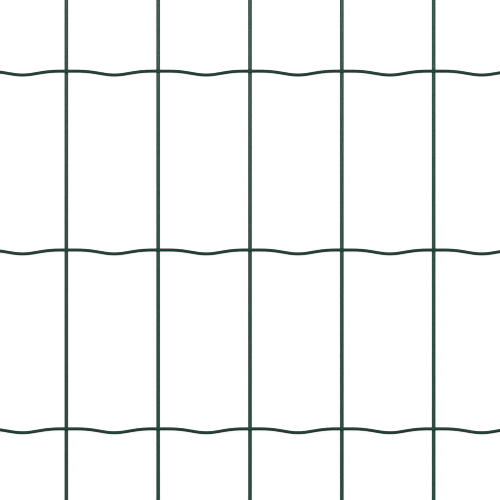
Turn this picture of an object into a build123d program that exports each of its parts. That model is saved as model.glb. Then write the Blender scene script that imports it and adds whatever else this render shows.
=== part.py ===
from build123d import *
import os
from math import cos, radians, sin

# Flat sheet of green coated welded wire fencing mesh, cut from stock by the metre.
# Straight stays lie side by side along Y. Crimped line wires cross on top of them along X,
# and every crossing is welded, so the whole sheet is one piece.
# Millimetres. X is along the line wires, Y along the stays, and the stays lie on z = 0.
# The origin is under the middle of the sheet.

# Sheet
stay_count = 20
line_count = 7
stay_pitch = 51.35
line_pitch = 100.0
line_overhang = 12.175      # how far the line wires reach past the end stays: a 1 m length
stay_overhang = 5.0         # how far the stays reach past the edge line wires

# Wires, measured over their coating
stay_diameter = 2.2
line_diameter = 1.85
wire_sides = 6              # round wire drawn with few sides, as thick across its flats
coating = 0.25
weld_setdown = 0.25         # how far the bare wires are pressed into each other at a weld

# Crimp of the line wires: a straight crest over each stay and a rounded dip in every mesh
crimp_depth = 2.13
knee_angle = 8.6            # slope of the flanks
dip_radius = 28.5
crest_offset = 1.2          # from a stay to the middle of its crest, along X

# The flanks and crests take what the dip leaves of a pitch
dip_half_width = dip_radius * sin(radians(knee_angle))
dip_rise = dip_radius * (1 - cos(radians(knee_angle)))
flank_length = (crimp_depth - dip_rise) / sin(radians(knee_angle))
flank_width = flank_length * cos(radians(knee_angle))
crest_length = stay_pitch - 2 * (dip_half_width + flank_width)

# A flat side of every wire faces down, whatever its number of sides
flat_side_down = -90 - 180 / wire_sides

# Places
stay_span = (stay_count - 1) * stay_pitch
line_span = (line_count - 1) * line_pitch
sheet_length = stay_span + 2 * line_overhang
sheet_height = line_span + 2 * stay_overhang
top_of_bare_stay = stay_diameter - coating
line_wire_height = top_of_bare_stay - weld_setdown + line_diameter / 2 - coating


def centred(count, pitch):
    """Places of a row of wires, centred on the origin."""
    return [(number - (count - 1) / 2) * pitch for number in range(count)]


def stay():
    """One straight wire, centred on x = 0 and lying on z = 0."""
    section = RegularPolygon(stay_diameter / 2, wire_sides, major_radius=False, rotation=flat_side_down)
    wire = extrude(Plane.XZ * section, amount=sheet_height / 2, both=True)
    return Pos(0, 0, stay_diameter / 2) * wire


def crimp_line():
    """Centre line of a crimped wire, from the dip before the first stay to the one after the last."""
    down = Vector(1, 0).rotate(Axis.Z, -knee_angle)
    before_first_stay = crest_offset - (stay_span + stay_pitch) / 2
    start = Vector(before_first_stay - dip_half_width, dip_rise - crimp_depth)
    with BuildLine() as line:
        dip = JernArc(start, down, dip_radius, 2 * knee_angle)
        for number in range(stay_count):
            rise = PolarLine(dip @ 1, flank_length, knee_angle)
            crest = PolarLine(rise @ 1, crest_length, 0)
            fall = PolarLine(crest @ 1, flank_length, -knee_angle)
            dip = JernArc(fall @ 1, down, dip_radius, 2 * knee_angle)
    return Wire(line.line.edges())


def line_wire():
    """One crimped wire at its height on the stays, its crests on y = 0, cut to the sheet's length."""
    centre_line = crimp_line()
    down = centre_line % 0
    across = Plane(centre_line @ 0, x_dir=down.rotate(Axis.Z, 90), z_dir=down)
    section = RegularPolygon(line_diameter / 2, wire_sides, major_radius=False, rotation=flat_side_down)
    uncut = sweep(across * section, path=centre_line, transition=Transition.RIGHT)
    length_of_sheet = Box(sheet_length, line_pitch, 2 * line_diameter)
    return Pos(0, 0, line_wire_height) * (uncut & length_of_sheet)


def welded_mesh():
    """All the wires in their places, fused where they cross."""
    upright = stay()
    crimped = line_wire()
    stays = [Pos(x, 0, 0) * upright for x in centred(stay_count, stay_pitch)]
    lines = [Pos(0, y, 0) * crimped for y in centred(line_count, line_pitch)]
    return stays[0].fuse(*stays[1:], *lines)


os.makedirs("parts", exist_ok=True)
sheet = welded_mesh()
sheet.label = "welded_mesh_sheet"
export_step(sheet, "parts/welded_mesh_sheet.step")
print("sheet", sheet_length, "x", sheet_height, "crest", crest_length, "flank", flank_length)
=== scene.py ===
from math import cos, hypot, pi, radians, sin

import bpy
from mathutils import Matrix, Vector


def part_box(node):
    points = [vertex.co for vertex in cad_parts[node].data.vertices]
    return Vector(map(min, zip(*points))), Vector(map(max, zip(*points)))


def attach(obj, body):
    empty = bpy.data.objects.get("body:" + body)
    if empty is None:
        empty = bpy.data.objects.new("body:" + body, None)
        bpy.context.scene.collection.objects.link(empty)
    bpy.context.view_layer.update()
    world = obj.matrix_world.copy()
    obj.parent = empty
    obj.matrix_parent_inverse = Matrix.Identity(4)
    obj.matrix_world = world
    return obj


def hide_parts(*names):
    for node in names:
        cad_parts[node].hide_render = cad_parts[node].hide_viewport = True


# Flat sheet of welded wire fencing mesh with a dark green plastic coat over all.
# Metres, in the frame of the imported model: X along the crimped line wires, Y along the straight stays,
# Z up, and the stays lie on z = 0.

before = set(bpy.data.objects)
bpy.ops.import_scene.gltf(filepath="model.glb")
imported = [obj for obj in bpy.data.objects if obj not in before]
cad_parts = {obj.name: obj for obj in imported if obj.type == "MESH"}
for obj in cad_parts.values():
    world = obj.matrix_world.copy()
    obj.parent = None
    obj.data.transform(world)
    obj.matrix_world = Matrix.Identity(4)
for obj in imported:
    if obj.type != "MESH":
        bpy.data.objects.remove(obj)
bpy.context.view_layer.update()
sheet_low, sheet_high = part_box("welded_mesh_sheet")

mm = 0.001
touching = 0.001 * mm       # points as near as this are in one place
on_plane = 0.0001 * mm      # points as near to a cut's plane as this are on it

# The sheet's wires
stay_count = 20
line_count = 7
stay_pitch = 51.35 * mm
line_pitch = 100.0 * mm
stay_radius = 1.1 * mm
line_radius = 0.925 * mm
coat_thickness = 0.25 * mm

# Heights of the wires' centre lines
stay_height = sheet_low.z + stay_radius
line_height = sheet_high.z - line_radius

# Crimp of the line wires: a straight crest over each stay, knees, straight flanks and a dip in every mesh
crimp_depth = 2.16 * mm
flank_slope = radians(9.4)
knee_radius = 60.0 * mm
dip_radius = 32.0 * mm
crest_offset = 1.2 * mm
half_pitch = stay_pitch / 2
flank_length = (crimp_depth - (knee_radius + dip_radius) * (1 - cos(flank_slope))) / sin(flank_slope)
crest_half = half_pitch - (knee_radius + dip_radius) * sin(flank_slope) - flank_length * cos(flank_slope)

# How finely the wires are drawn
stay_sides = 18
line_sides = 16
knee_steps = 4
half_dip_steps = 3
smooth_below = radians(40)
large_face_weight = 100     # from 1 to 100: 50 is even, and at 100 the large faces set the shading

# How the coat gathers in the corners of a weld
weld_sides = 18
gather = 0.45 * mm
gather_rows = 3
on_wire = 0.03 * mm         # nearer to a wire than this, a point is on it
on_cut = 0.05 * mm          # the cut is as many-sided as the weld, so its faces lie a little further out
cutter_length = 10 * mm
settling_rounds = 8

# Cut ends
stay_end_round = 0.45 * mm
stay_end_rows = 3
lip_round = 0.07 * mm
lip_rows = 2
core_recess = 0.05 * mm
steel_slot = 1

# The view: straight down on a crossing near the middle, as wide as the picture is
picture_width = 279.56 * mm
camera_distance = 10.0
sensor_width = 36.0         # Blender's own millimetres
film_filter = 1.0           # pixels

# How far from the middle of a crossing the weld's green holds, and where it has faded out
weld_reach = 0.4 * mm
weld_fade = 1.5 * mm

# The coat's finish: colours, how rough it is, and the size of its orange peel and patches
# The stays and line wires are one plastic: the stays' paler green is a painted sheen, and the line wires'
# deeper green is painted shade.
stay_green_painted_sheen = (0.0066, 0.0660, 0.0450)
line_green_painted_shade = (0.0005, 0.0368, 0.0238)
# Each crossing is a paler, purer green, strongest at its middle.
weld_green = (0.0002, 0.0625, 0.0388)
hazy_green = (0.0160, 0.0620, 0.0490)
mottling = 0.03
haze = 0.15
coat_roughness = (0.35, 0.39)
coat_specular = 0.33
peel_size = 0.7 * mm
peel_depth = 0.004 * mm
speck_size = 0.2 * mm
speck_share = 0.3
mottle_size = 5 * mm
cloud_size = 24 * mm

# The cut steel's finish
steel_bright = (0.62, 0.60, 0.58)
steel_dull = (0.30, 0.29, 0.28)
steel_roughness = (0.28, 0.55)
shear_stretch = (1, 1, 0.15)    # the marks run along the blade's stroke, Z
shear_size = 0.05 * mm
shear_depth = 0.008 * mm
break_size = 0.5 * mm

# Grain: how finely it and its patches break up, and the part of the noise's range that they use
grain_detail = 2.0
patch_detail = 3.0
grain_range = (0.3, 0.7)

# Light, as shares of the plain level at which a colour renders as it is written
room_light = 0.32
room_overhead = 0.20
room_turns_dim = 0.2        # reflections show the overhead light from this slope above the level
# Each lamp's name, place from the middle of the picture, width, length and share
lamps = (
    ("lamp_left", (-0.52, 0.32, 1.0), 0.3, 0.3, 0.34),
    ("lamp_right", (0.52, 0.32, 1.0), 0.3, 0.3, 0.34))
white = (1, 1, 1, 1)
floor_size = 60
floor_gap = 0.2 * mm
floor_shade = 0.18
floor_glow = 0.90

# Places of the first stay, the first line wire and the crossing in the middle of the picture
first_stay = -(stay_count - 1) / 2 * stay_pitch
first_line = -(line_count - 1) / 2 * line_pitch
middle_stay = first_stay + stay_count // 2 * stay_pitch
middle_line = first_line + line_count // 2 * line_pitch
middle_crossing = Vector((middle_stay, middle_line, 0))


def deselect():
    """Leaves edit mode and lets go of every object."""
    if bpy.context.mode != "OBJECT":
        bpy.ops.object.mode_set(mode="OBJECT")
    bpy.ops.object.select_all(action="DESELECT")


def work_on(piece):
    """Makes this piece the only one selected, and the active one."""
    deselect()
    piece.select_set(True)
    bpy.context.view_layer.objects.active = piece


def edit(piece, parts="FACE"):
    """Opens a piece in edit mode with nothing selected."""
    work_on(piece)
    bpy.ops.object.mode_set(mode="EDIT")
    bpy.ops.mesh.select_mode(type=parts)
    bpy.ops.mesh.select_all(action="DESELECT")


def edit_all(piece):
    """Opens a piece in edit mode with all of it selected."""
    edit(piece)
    bpy.ops.mesh.select_all(action="SELECT")


def stop_editing():
    """Goes back to object mode, with the changes kept."""
    bpy.ops.object.mode_set(mode="OBJECT")


def select_faces(piece, wanted):
    """In edit mode, selects the faces for which the test holds at every corner."""
    bpy.ops.object.mode_set(mode="OBJECT")
    mesh = piece.data
    corners = [wanted(vertex.co) for vertex in mesh.vertices]
    for face in mesh.polygons:
        face.select = all(corners[index] for index in face.vertices)
    bpy.ops.object.mode_set(mode="EDIT")


def remove_faces(piece, wanted):
    """Deletes the faces for which the test holds at every corner."""
    edit(piece)
    select_faces(piece, wanted)
    bpy.ops.mesh.delete(type="FACE")
    stop_editing()


def place_in_mesh(piece):
    """Puts a piece's place and turn into its mesh, so that its object is at the origin."""
    work_on(piece)
    bpy.ops.object.transform_apply(location=True, rotation=True, scale=True)


def apply_modifier(piece, kind, **settings):
    """Adds a modifier with these settings and applies it."""
    work_on(piece)
    modifier = piece.modifiers.new(kind, kind)
    for name, value in settings.items():
        setattr(modifier, name, value)
    bpy.ops.object.modifier_apply(modifier=modifier.name)


def cut_away(piece, cutter):
    """Takes the cutter's shape out of a piece."""
    apply_modifier(piece, "BOOLEAN", operation="DIFFERENCE", solver="EXACT", object=cutter)
    bpy.data.objects.remove(cutter)


def repeat(piece, count, step):
    """Repeats a piece in a row, each copy joined to the one before it."""
    apply_modifier(
        piece, "ARRAY", count=count, use_relative_offset=False, use_constant_offset=True,
        constant_offset_displace=step, use_merge_vertices=True, merge_threshold=touching)


def face_outwards(piece):
    """Turns all faces of a closed piece outwards."""
    edit_all(piece)
    bpy.ops.mesh.normals_make_consistent(inside=False)
    stop_editing()


def start_wire(name, sides, radius, start, turn):
    """A ring from which a wire is drawn, left open in edit mode."""
    deselect()
    bpy.ops.mesh.primitive_circle_add(vertices=sides, radius=radius, location=start, rotation=turn)
    wire = bpy.context.object
    wire.name = name
    place_in_mesh(wire)
    bpy.ops.object.mode_set(mode="EDIT")
    bpy.ops.mesh.select_all(action="SELECT")
    return wire


def draw_straight(at, heading, length):
    """Carries the open end of a wire on in a straight run, and gives where it then is."""
    step = Vector((cos(heading), sin(heading), 0)) * length
    bpy.ops.mesh.extrude_edges_move(TRANSFORM_OT_translate={"value": step})
    return at + step


def draw_bend(at, heading, radius, turn, steps):
    """Carries the open end of a wire on round a bend, to the left where the turn is positive."""
    left = 1 if turn > 0 else -1
    centre = at + Vector((-sin(heading), cos(heading), 0)) * (left * radius)
    # About an axis that points down, a positive angle turns to the left
    bpy.ops.mesh.spin(steps=steps, angle=turn, center=centre, axis=(0, 0, -1))
    after = heading + turn
    return centre - Vector((-sin(after), cos(after), 0)) * (left * radius)


def close_ends():
    """Fills both open ends of the wire that is being drawn, and leaves edit mode."""
    bpy.ops.mesh.select_all(action="DESELECT")
    bpy.ops.mesh.select_mode(type="EDGE")
    bpy.ops.mesh.select_non_manifold()
    bpy.ops.mesh.fill_holes(sides=0)
    bpy.ops.mesh.select_all(action="SELECT")
    bpy.ops.mesh.normals_make_consistent(inside=False)
    stop_editing()


def stay_length():
    """One straight wire, one mesh high, with its middle over the origin."""
    start = Vector((0, -line_pitch / 2, stay_height))
    wire = start_wire("stay", stay_sides, stay_radius, start, turn=(pi / 2, 0, 0))
    draw_straight(start, pi / 2, line_pitch)
    close_ends()
    return wire


def line_length():
    """One crimped wire, from the middle of a dip to the next one's, with its crest over the origin."""
    start = Vector((crest_offset - half_pitch, -crimp_depth, line_height))
    wire = start_wire("line_wire", line_sides, line_radius, start, turn=(0, pi / 2, 0))
    end = draw_bend(start, 0, dip_radius, flank_slope, half_dip_steps)
    end = draw_straight(end, flank_slope, flank_length)
    end = draw_bend(end, flank_slope, knee_radius, -flank_slope, knee_steps)
    end = draw_straight(end, 0, 2 * crest_half)
    end = draw_bend(end, 0, knee_radius, -flank_slope, knee_steps)
    end = draw_straight(end, -flank_slope, flank_length)
    draw_bend(end, -flank_slope, dip_radius, flank_slope, half_dip_steps)
    close_ends()
    return wire


def from_stay(point):
    """How far a point is from the surface of the stay."""
    return hypot(point.x, point.z - stay_height) - stay_radius


def from_line(point):
    """How far a point is from the surface of the line wire, near the crossing."""
    return hypot(point.y, point.z - line_height) - line_radius


def from_coat(point):
    """How far a point is from the coat, which rounds the corner between the two wires."""
    stay, line = from_stay(point), from_line(point)
    nearness = max(gather - abs(stay - line), 0) / gather
    return min(stay, line) - nearness ** 2 * gather / 4


def settle_on_coat(point):
    """The nearest place to a point on the coat's surface."""
    axes = (Vector((1, 0, 0)), Vector((0, 1, 0)), Vector((0, 0, 1)))
    for number in range(settling_rounds):
        here = from_coat(point)
        slope = Vector([
            (from_coat(point + axis * touching) - from_coat(point - axis * touching)) / (2 * touching)
            for axis in axes])
        point = point - slope * (here / slope.length_squared)
    return point


def open_for_weld(wire, radius, height, turn, from_other):
    """Cuts away the part of a wire that the coat of a weld covers, and leaves the hole open."""
    deselect()
    bpy.ops.mesh.primitive_cylinder_add(
        vertices=weld_sides, radius=radius + gather, depth=cutter_length,
        location=(0, 0, height), rotation=turn)
    cut_away(wire, bpy.context.object)
    remove_faces(wire, lambda place: from_other(place) < gather + on_cut)


def crossing():
    """One welded crossing with a mesh's width and height of wire."""
    sheet = stay_length()
    line = line_length()
    open_for_weld(sheet, line_radius, line_height, (0, pi / 2, 0), from_line)
    open_for_weld(line, stay_radius, stay_height, (pi / 2, 0, 0), from_stay)
    work_on(sheet)
    line.select_set(True)
    bpy.ops.object.join()
    edit(sheet, "EDGE")
    bpy.ops.mesh.select_non_manifold()
    bpy.ops.mesh.bridge_edge_loops(number_cuts=gather_rows - 1)
    stop_editing()
    # The rows of points between the two wires go onto the coat's rounded corner
    for vertex in sheet.data.vertices:
        near_weld = vertex.co.length < crest_half
        off_both = min(from_stay(vertex.co), from_line(vertex.co)) > on_wire
        if near_weld and off_both:
            vertex.co = settle_on_coat(vertex.co)
    return sheet


def in_plane(axis, place):
    """A test for points that lie in a plane square to an axis."""
    return lambda point: abs(point[axis] - place) < touching


def open_ends(piece):
    """Takes the end faces off one crossing's wires, so that its copies join into whole wires."""
    stay_ends = (-line_pitch / 2, line_pitch / 2)
    line_ends = (crest_offset - half_pitch, crest_offset + half_pitch)
    for axis, places in ((1, stay_ends), (0, line_ends)):
        for place in places:
            remove_faces(piece, in_plane(axis, place))


def trim_to_size(sheet):
    """Cuts every wire off at the sheet's four sides, and closes the cut ends."""
    for axis, places in ((0, (sheet_low.x, sheet_high.x)), (1, (sheet_low.y, sheet_high.y))):
        for place in places:
            outwards = Vector((0, 0, 0))
            outwards[axis] = 1 if place > 0 else -1
            edit_all(sheet)
            bpy.ops.mesh.bisect(
                plane_co=outwards * abs(place), plane_no=outwards, use_fill=True, clear_outer=True,
                threshold=on_plane)
            stop_editing()


def round_stay_ends(sheet):
    """Rounds the coat over the ends of the stays."""
    for place in (sheet_low.y, sheet_high.y):
        edit(sheet)
        select_faces(sheet, in_plane(1, place))
        bpy.ops.mesh.bevel(offset=stay_end_round, segments=stay_end_rows, affect="EDGES")
        stop_editing()


def bare_line_ends(sheet):
    """Shows the steel inside the coat where the line wires were cut, with the coat's lip a little round."""
    for place in (sheet_low.x, sheet_high.x):
        edit(sheet)
        select_faces(sheet, in_plane(0, place))
        bpy.ops.mesh.bevel(offset=lip_round, segments=lip_rows, affect="EDGES")
        select_faces(sheet, in_plane(0, place))
        bpy.ops.mesh.inset(thickness=coat_thickness - lip_round)
        sheet.active_material_index = steel_slot
        bpy.ops.object.material_slot_assign()
        inwards = 1 if place < 0 else -1
        bpy.ops.mesh.extrude_region_move(TRANSFORM_OT_translate={"value": (inwards * core_recess, 0, 0)})
        stop_editing()


def mesh_sheet(coat, bare_steel):
    """The whole sheet, as one skin of coat over all its wires."""
    sheet = crossing()
    sheet.name = "coated_mesh"
    sheet.data.materials.append(coat)
    sheet.data.materials.append(bare_steel)
    open_ends(sheet)
    edit_all(sheet)
    bpy.ops.transform.translate(value=(first_stay, first_line, 0))
    stop_editing()
    repeat(sheet, stay_count, (stay_pitch, 0, 0))
    repeat(sheet, line_count, (0, line_pitch, 0))
    trim_to_size(sheet)
    face_outwards(sheet)
    round_stay_ends(sheet)
    bare_line_ends(sheet)
    work_on(sheet)
    bpy.ops.object.shade_smooth_by_angle(angle=smooth_below)
    apply_modifier(sheet, "WEIGHTED_NORMAL", mode="FACE_AREA", weight=large_face_weight, keep_sharp=True)
    return sheet


def new_material(name):
    """A material with nodes, and its shader."""
    material = bpy.data.materials.new(name)
    material.use_nodes = True
    return material, material.node_tree, material.node_tree.nodes["Principled BSDF"]


def add_node(tree, kind, **settings):
    """Adds a shader node with its settings."""
    node = tree.nodes.new(kind)
    for name, value in settings.items():
        setattr(node, name, value)
    return node


def give(tree, socket, value):
    """Gives a socket a constant, or a link from another node."""
    if isinstance(value, bpy.types.NodeSocket):
        tree.links.new(value, socket)
    else:
        socket.default_value = value


def feed(tree, node, **inputs):
    """Gives inputs of a node, named with _ for a space, their constants or links."""
    for name, value in inputs.items():
        give(tree, node.inputs[name.replace("_", " ")], value)


def calculate(tree, operation, *values):
    """The outcome of one step of arithmetic on numbers or on other nodes' outputs."""
    node = add_node(tree, "ShaderNodeMath", operation=operation)
    for socket, value in zip(node.inputs, values):
        give(tree, socket, value)
    return node.outputs[0]


def between(tree, value, low, high, out_low=0.0, out_high=1.0):
    """Carries a value from one range smoothly over to another."""
    node = add_node(tree, "ShaderNodeMapRange", interpolation_type="SMOOTHSTEP")
    feed(tree, node, Value=value, From_Min=low, From_Max=high, To_Min=out_low, To_Max=out_high)
    return node.outputs["Result"]


def opaque(colour):
    """A written colour with its alpha, or another node's output as it is."""
    return colour if isinstance(colour, bpy.types.NodeSocket) else (*colour, 1)


def blend_colours(tree, share, first, second):
    """The first colour where the share is nought, and the second where it is one."""
    node = add_node(tree, "ShaderNodeMix", data_type="RGBA")
    colours = [socket for socket in node.inputs if socket.type == "RGBA"]
    feed(tree, node, Factor=share)
    give(tree, colours[0], opaque(first))
    give(tree, colours[1], opaque(second))
    return next(socket for socket in node.outputs if socket.type == "RGBA")


def bumps(tree, height, depth):
    """Normals of a surface with bumps of a depth."""
    node = add_node(tree, "ShaderNodeBump")
    feed(tree, node, Strength=1.0, Distance=depth, Height=height)
    return node.outputs["Normal"]


def parts_of(tree, vector):
    """The X, Y and Z outputs of a vector."""
    node = add_node(tree, "ShaderNodeSeparateXYZ")
    feed(tree, node, Vector=vector)
    return node.outputs


def new_group(name, inputs, outputs):
    """An empty shader node group, with where its inputs come in and its outputs go out."""
    group = bpy.data.node_groups.new(name, "ShaderNodeTree")
    for socket_name, kind in inputs:
        group.interface.new_socket(name=socket_name, in_out="INPUT", socket_type=kind)
    for socket_name, kind in outputs:
        group.interface.new_socket(name=socket_name, in_out="OUTPUT", socket_type=kind)
    return group, add_node(group, "NodeGroupInput"), add_node(group, "NodeGroupOutput")


def grain_group():
    """Grain of a chosen size: a height for bumps, and slow patches many grains wide."""
    group, given, result = new_group(
        "surface_grain",
        (("Place", "NodeSocketVector"), ("Size", "NodeSocketFloat"), ("Patch Size", "NodeSocketFloat")),
        (("Height", "NodeSocketFloat"), ("Patches", "NodeSocketFloat")))
    for size, detail, output in (("Size", grain_detail, "Height"), ("Patch Size", patch_detail, "Patches")):
        noise = add_node(group, "ShaderNodeTexNoise", noise_dimensions="3D")
        fineness = calculate(group, "DIVIDE", 1.0, given.outputs[size])
        feed(group, noise, Vector=given.outputs["Place"], Scale=fineness, Detail=detail)
        give(group, result.inputs[output], between(group, noise.outputs["Fac"], *grain_range))
    return group


def place_group(tree, group, **inputs):
    """Puts a node group in a material with its own values."""
    node = add_node(tree, "ShaderNodeGroup", node_tree=group)
    feed(tree, node, **inputs)
    return node.outputs


def off_wires(tree, place):
    """How far to the side of the nearest stay, and of the nearest line wire's crests, a place is."""
    along = parts_of(tree, place)
    from_first_stay = calculate(tree, "SUBTRACT", along["X"], first_stay)
    from_first_line = calculate(tree, "SUBTRACT", along["Y"], first_line)
    return (calculate(tree, "PINGPONG", from_first_stay, stay_pitch / 2),
            calculate(tree, "PINGPONG", from_first_line, line_pitch / 2))


def coat_green(tree, place, patches):
    """The coat's colour: painted shade makes the line wires deeper and a painted sheen makes the stays paler,
    though both are one plastic; each crossing is a paler, purer green, and slow patches turn it hazy.
    """
    off_stay, off_line = off_wires(tree, place)
    beside_stay = between(tree, off_stay, stay_radius, stay_radius + gather, 1.0, 0.0)
    past_line = between(tree, off_line, line_radius - gather / 2, line_radius + gather / 2)
    stay_sheen_mask = calculate(tree, "MULTIPLY", beside_stay, past_line)
    off_stay_squared = calculate(tree, "POWER", off_stay, 2.0)
    off_line_squared = calculate(tree, "POWER", off_line, 2.0)
    off_weld = calculate(tree, "SQRT", calculate(tree, "ADD", off_stay_squared, off_line_squared))
    at_weld = between(tree, off_weld, weld_reach, weld_fade, 1.0, 0.0)
    # Painted light: the stays take a paler copy of the green as a painted sheen, and the line wires a deeper
    # one as painted shade.
    green = blend_colours(tree, stay_sheen_mask, line_green_painted_shade, stay_green_painted_sheen)
    green = blend_colours(tree, at_weld, green, weld_green)
    return blend_colours(tree, calculate(tree, "MULTIPLY", patches, haze), green, hazy_green)


def coat_material(grain):
    """Moss green plastic with a slight orange peel, small specks and slow patches of haze."""
    material, tree, shader = new_material("green_plastic_coat")
    place = add_node(tree, "ShaderNodeTexCoord").outputs["Object"]
    peel = place_group(tree, grain, Place=place, Size=peel_size, Patch_Size=mottle_size)
    speck = place_group(tree, grain, Place=place, Size=speck_size, Patch_Size=cloud_size)
    mottled = add_node(tree, "ShaderNodeHueSaturation")
    shade = between(tree, peel["Patches"], 0.0, 1.0, 1 - mottling, 1 + mottling)
    feed(tree, mottled, Color=coat_green(tree, place, speck["Patches"]), Value=shade)
    gloss = between(tree, speck["Patches"], 0.0, 1.0, *coat_roughness)
    height = calculate(tree, "MULTIPLY_ADD", speck["Height"], speck_share, peel["Height"])
    feed(tree, shader, Base_Color=mottled.outputs["Color"], Roughness=gloss,
         Specular_IOR_Level=coat_specular, Normal=bumps(tree, height, peel_depth))
    return material


def steel_material(grain):
    """The face of a sheared wire: bright where the blade rubbed it, dull and grainy where it broke off."""
    material, tree, shader = new_material("cut_steel")
    place = add_node(tree, "ShaderNodeTexCoord").outputs["Object"]
    drawn = add_node(tree, "ShaderNodeMapping")
    feed(tree, drawn, Vector=place, Scale=shear_stretch)
    marks = place_group(
        tree, grain, Place=drawn.outputs["Vector"], Size=shear_size, Patch_Size=break_size)
    broken = marks["Patches"]
    feed(tree, shader, Base_Color=blend_colours(tree, broken, steel_bright, steel_dull),
         Roughness=between(tree, broken, 0.0, 1.0, *steel_roughness),
         Metallic=1.0, Normal=bumps(tree, marks["Height"], shear_depth))
    return material


def lamp(name, place, width, length, share):
    """A soft lamp that faces the middle of the picture, and gives a share of a plain level of light there."""
    towards = Vector(place)
    light = bpy.data.lights.new(name, "AREA")
    light.shape = "RECTANGLE"
    light.size = width
    light.size_y = length
    # What a white surface there needs to give that share of white back
    light.energy = share * pi ** 2 * towards.length ** 3 / towards.z
    holder = bpy.data.objects.new(name, light)
    bpy.context.scene.collection.objects.link(holder)
    holder.location = middle_crossing + towards
    holder.rotation_euler = towards.to_track_quat("Z", "Y").to_euler()
    holder.visible_camera = False


def seen_directly(tree):
    """One where the camera, a reflection or glass shows a surface, and nought where it only lights."""
    path = add_node(tree, "ShaderNodeLightPath")
    seen = path.outputs["Is Camera Ray"]
    for ray in ("Is Glossy Ray", "Is Transmission Ray"):
        seen = calculate(tree, "MAXIMUM", seen, path.outputs[ray])
    return seen


def pale_floor():
    """A floor that is white where it is seen, and keeps a soft part of the shadows."""
    deselect()
    bpy.ops.mesh.primitive_plane_add(size=floor_size, location=(0, 0, sheet_low.z - floor_gap))
    floor = bpy.context.object
    floor.name = "floor"
    place_in_mesh(floor)
    material, tree, shader = new_material("pale_floor")
    feed(tree, shader, Base_Color=(floor_shade, floor_shade, floor_shade, 1), Roughness=1.0,
         Specular_IOR_Level=0.0, Emission_Color=white,
         Emission_Strength=calculate(tree, "MULTIPLY", seen_directly(tree), floor_glow))
    floor.data.materials.append(material)


def pale_world():
    """A pale room: white to the camera, and in reflections white at the level and dimmer overhead."""
    world = bpy.data.worlds.new("pale_room")
    bpy.context.scene.world = world
    world.use_nodes = True
    tree = world.node_tree
    upwards = parts_of(tree, add_node(tree, "ShaderNodeTexCoord").outputs["Generated"])["Z"]
    reflected = between(tree, upwards, 0.0, room_turns_dim, 1.0, room_overhead)
    path = add_node(tree, "ShaderNodeLightPath")
    shown = calculate(tree, "MAXIMUM", path.outputs["Is Camera Ray"], reflected)
    level = add_node(tree, "ShaderNodeMapRange")
    feed(tree, level, Value=seen_directly(tree), To_Min=room_light, To_Max=shown)
    feed(tree, tree.nodes["Background"], Strength=level.outputs["Result"], Color=white)


def camera_above():
    """The camera looks straight down, with the line wires level and their dips towards the picture's foot."""
    camera = bpy.data.cameras.new("camera")
    camera.sensor_width = sensor_width
    camera.lens = sensor_width * camera_distance / picture_width
    holder = bpy.data.objects.new("camera", camera)
    bpy.context.scene.collection.objects.link(holder)
    holder.location = middle_crossing + Vector((0, 0, line_height + camera_distance))
    bpy.context.scene.camera = holder


def main():
    """Builds the sheet in place of its plain solid, then the stage, the light and the view."""
    grain = grain_group()
    sheet = mesh_sheet(coat_material(grain), steel_material(grain))
    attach(sheet, "root")
    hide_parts("welded_mesh_sheet")
    pale_floor()
    pale_world()
    for name, place, width, length, share in lamps:
        lamp(name, place, width, length, share)
    camera_above()
    bpy.context.scene.cycles.filter_width = film_filter
    bpy.context.scene.view_settings.view_transform = "Standard"


main()
